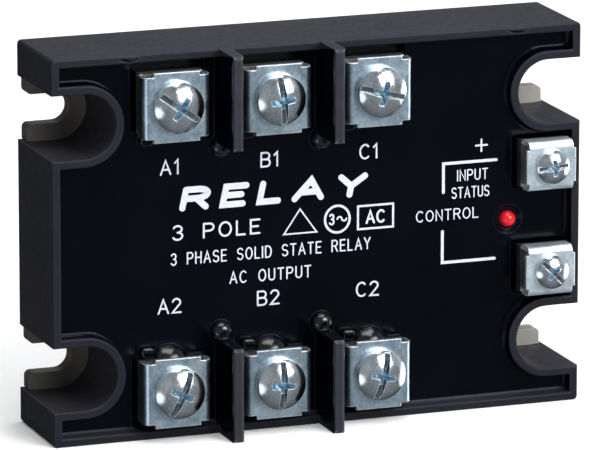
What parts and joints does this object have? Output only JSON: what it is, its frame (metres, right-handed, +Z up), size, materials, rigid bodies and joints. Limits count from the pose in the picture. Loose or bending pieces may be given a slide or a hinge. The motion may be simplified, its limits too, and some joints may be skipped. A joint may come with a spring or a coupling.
{
  "type": "solid state relay",
  "caption": "Three-phase solid state relay: a flat potted block on a metal heatsink plate, with saddle-clamp screw terminals, barrier fins, a status lamp and open mounting slots.",
  "frame": {"origin": "centre of the bounding box on the floor: the middle of the long lower edge the relay stands on", "axes": "+X along the length toward the input terminals, +Y from the terminal face to the mounting plate, +Z up"},
  "size_m": [0.104, 0.029, 0.073],
  "materials": {
    "housing_plastic": "dark grey moulded thermoplastic, matte sides and a glossy recessed face",
    "plate_aluminium": "satin, slightly dull",
    "potting_compound": "soft poured silicone",
    "board_laminate": "solder mask over glass laminate",
    "ceramic_white": "matte alumina",
    "bonded_copper": "bare copper foil",
    "ic_moulding": "moulded epoxy",
    "capacitor_case": "dipped film capacitor",
    "resistor_coat": "fired coating",
    "silicon_die": "polished silicon",
    "tinned_copper": "tin over copper, satin",
    "clamp_zinc": "bright zinc with a faint blue passivation",
    "screw_zinc": "bright zinc, worn bright on the crown",
    "nut_zinc": "zinc, satin",
    "lamp_red": "clear red epoxy",
    "lead_steel": "tinned"
  },
  "bodies": {
    "relay": {"baseplate": "plate_aluminium", "ceramic_a": "ceramic_white", "ceramic_b": "ceramic_white", "ceramic_c": "ceramic_white", "circuit_board": "board_laminate", "copper_pad_a": "bonded_copper", "copper_pad_b": "bonded_copper", "copper_pad_c": "bonded_copper", "gate_resistor_a": "resistor_coat", "gate_resistor_b": "resistor_coat", "gate_resistor_c": "resistor_coat", "housing": "housing_plastic", "input_bar_neg": "tinned_copper", "input_bar_pos": "tinned_copper", "input_diode": "ic_moulding", "input_nuts": "nut_zinc", "input_regulator": "ic_moulding", "led_leads": "lead_steel", "led_lens": "lamp_red", "load_bar_a1": "tinned_copper", "load_bar_a2": "tinned_copper", "load_bar_b1": "tinned_copper", "load_bar_b2": "tinned_copper", "load_bar_c1": "tinned_copper", "load_bar_c2": "tinned_copper", "load_nuts": "nut_zinc", "optocoupler_a": "ic_moulding", "optocoupler_b": "ic_moulding", "optocoupler_c": "ic_moulding", "potting": "potting_compound", "snubber_a": "capacitor_case", "snubber_b": "capacitor_case", "snubber_c": "capacitor_case", "thyristor_a1": "silicon_die", "thyristor_a2": "silicon_die", "thyristor_b1": "silicon_die", "thyristor_b2": "silicon_die", "thyristor_c1": "silicon_die", "thyristor_c2": "silicon_die"},
    "load_clamp_a1": {"load_clamp_a1": "clamp_zinc"},
    "load_screw_a1": {"load_screw_a1": "screw_zinc"},
    "load_clamp_b1": {"load_clamp_b1": "clamp_zinc"},
    "load_screw_b1": {"load_screw_b1": "screw_zinc"},
    "load_clamp_c1": {"load_clamp_c1": "clamp_zinc"},
    "load_screw_c1": {"load_screw_c1": "screw_zinc"},
    "load_clamp_a2": {"load_clamp_a2": "clamp_zinc"},
    "load_screw_a2": {"load_screw_a2": "screw_zinc"},
    "load_clamp_b2": {"load_clamp_b2": "clamp_zinc"},
    "load_screw_b2": {"load_screw_b2": "screw_zinc"},
    "load_clamp_c2": {"load_clamp_c2": "clamp_zinc"},
    "load_screw_c2": {"load_screw_c2": "screw_zinc"},
    "input_clamp_pos": {"input_clamp_pos": "clamp_zinc"},
    "input_screw_pos": {"input_screw_pos": "screw_zinc"},
    "input_clamp_neg": {"input_clamp_neg": "clamp_zinc"},
    "input_screw_neg": {"input_screw_neg": "screw_zinc"}
  },
  "joints": [
    {"name": "load_clamp_a1_lift", "type": "slide", "parent": "relay", "child": "load_clamp_a1", "axis": [0, -1, 0], "range_m": [0, 0.00317]},
    {"name": "load_screw_a1_turn", "type": "hinge", "parent": "load_clamp_a1", "child": "load_screw_a1", "pos_m": [-0.029, -0.0098, 0.0635], "axis": [0, -1, 0], "range_deg": [0, 1445]},
    {"name": "load_clamp_b1_lift", "type": "slide", "parent": "relay", "child": "load_clamp_b1", "axis": [0, -1, 0], "range_m": [0, 0.00317]},
    {"name": "load_screw_b1_turn", "type": "hinge", "parent": "load_clamp_b1", "child": "load_screw_b1", "pos_m": [-0.0092, -0.0098, 0.0635], "axis": [0, -1, 0], "range_deg": [0, 1445]},
    {"name": "load_clamp_c1_lift", "type": "slide", "parent": "relay", "child": "load_clamp_c1", "axis": [0, -1, 0], "range_m": [0, 0.00317]},
    {"name": "load_screw_c1_turn", "type": "hinge", "parent": "load_clamp_c1", "child": "load_screw_c1", "pos_m": [0.0106, -0.0098, 0.0635], "axis": [0, -1, 0], "range_deg": [0, 1445]},
    {"name": "load_clamp_a2_lift", "type": "slide", "parent": "relay", "child": "load_clamp_a2", "axis": [0, -1, 0], "range_m": [0, 0.00317]},
    {"name": "load_screw_a2_turn", "type": "hinge", "parent": "load_clamp_a2", "child": "load_screw_a2", "pos_m": [-0.029, -0.0098, 0.0095], "axis": [0, -1, 0], "range_deg": [0, 1445]},
    {"name": "load_clamp_b2_lift", "type": "slide", "parent": "relay", "child": "load_clamp_b2", "axis": [0, -1, 0], "range_m": [0, 0.00317]},
    {"name": "load_screw_b2_turn", "type": "hinge", "parent": "load_clamp_b2", "child": "load_screw_b2", "pos_m": [-0.0092, -0.0098, 0.0095], "axis": [0, -1, 0], "range_deg": [0, 1445]},
    {"name": "load_clamp_c2_lift", "type": "slide", "parent": "relay", "child": "load_clamp_c2", "axis": [0, -1, 0], "range_m": [0, 0.00317]},
    {"name": "load_screw_c2_turn", "type": "hinge", "parent": "load_clamp_c2", "child": "load_screw_c2", "pos_m": [0.0106, -0.0098, 0.0095], "axis": [0, -1, 0], "range_deg": [0, 1445]},
    {"name": "input_clamp_pos_lift", "type": "slide", "parent": "relay", "child": "input_clamp_pos", "axis": [0, -1, 0], "range_m": [0, 0.00238]},
    {"name": "input_screw_pos_turn", "type": "hinge", "parent": "input_clamp_pos", "child": "input_screw_pos", "pos_m": [0.045, -0.0098, 0.0466], "axis": [0, -1, 0], "range_deg": [0, 1085]},
    {"name": "input_clamp_neg_lift", "type": "slide", "parent": "relay", "child": "input_clamp_neg", "axis": [0, -1, 0], "range_m": [0, 0.00238]},
    {"name": "input_screw_neg_turn", "type": "hinge", "parent": "input_clamp_neg", "child": "input_screw_neg", "pos_m": [0.045, -0.0098, 0.0264], "axis": [0, -1, 0], "range_deg": [0, 1085]}
  ],
  "couplings": [
    {"joint": "load_screw_a1_turn", "follows": "load_clamp_a1_lift", "rad_per_m": 7915.8},
    {"joint": "load_screw_b1_turn", "follows": "load_clamp_b1_lift", "rad_per_m": 7915.8},
    {"joint": "load_screw_c1_turn", "follows": "load_clamp_c1_lift", "rad_per_m": 7915.8},
    {"joint": "load_screw_a2_turn", "follows": "load_clamp_a2_lift", "rad_per_m": 7915.8},
    {"joint": "load_screw_b2_turn", "follows": "load_clamp_b2_lift", "rad_per_m": 7915.8},
    {"joint": "load_screw_c2_turn", "follows": "load_clamp_c2_lift", "rad_per_m": 7915.8},
    {"joint": "input_screw_pos_turn", "follows": "input_clamp_pos_lift", "rad_per_m": 7915.8},
    {"joint": "input_screw_neg_turn", "follows": "input_clamp_neg_lift", "rad_per_m": 7915.8}
  ]
}
